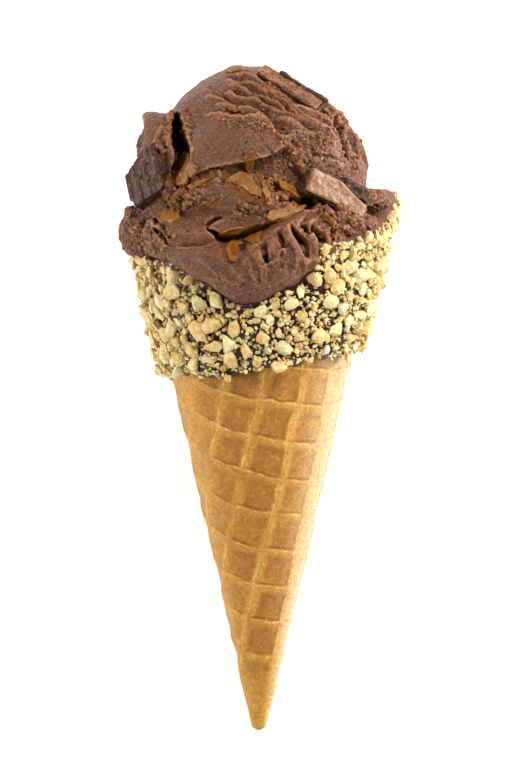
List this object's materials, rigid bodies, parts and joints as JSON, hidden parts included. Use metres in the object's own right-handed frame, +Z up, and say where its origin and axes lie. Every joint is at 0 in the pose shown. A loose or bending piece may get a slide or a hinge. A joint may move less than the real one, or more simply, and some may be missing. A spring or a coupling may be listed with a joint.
{
  "type": "ice cream cone",
  "caption": "Scoop of chocolate ice cream in a rolled waffle cone with a chocolate and chopped nut dip and pieces of peanut butter cup, lying on its side.",
  "frame": {"origin": "on the floor at the middle of the flat spot under the dipped band, straight below the cone's axis", "axes": "+Z up as the cone lies, +Y from the cone's tip towards the scoop, +X to the right seen from above with the tip towards the viewer"},
  "size_m": [0.0832, 0.1953, 0.0777],
  "materials": {
    "waffle": "baked golden waffle, dry and finely porous, browner in the pockets",
    "chopped_nuts": "chopped roasted peanuts, pale cream to golden, in dark chocolate",
    "dipping_chocolate": "set dark chocolate dip with a soft gloss",
    "ice_cream": "chocolate ice cream, moist and smooth where it was pressed, crumbly where it was torn",
    "peanut_flakes": "golden brown peanut butter flakes, slightly waxy",
    "cup_chocolate": "dark moulded chocolate, satin, dull grey where it broke",
    "cup_filling": "tan peanut butter filling, fatty and slightly glossy where it was cut"
  },
  "bodies": {
    "root": {"waffle_cone": "waffle", "nut_coat": "chopped_nuts", "ice_cream": "ice_cream", "left_cup_piece": "cup_chocolate", "top_cup_shell": "cup_chocolate", "top_cup_filling": "cup_filling", "right_cup_shell": "cup_chocolate", "right_cup_filling": "cup_filling"}
  },
  "joints": []
}
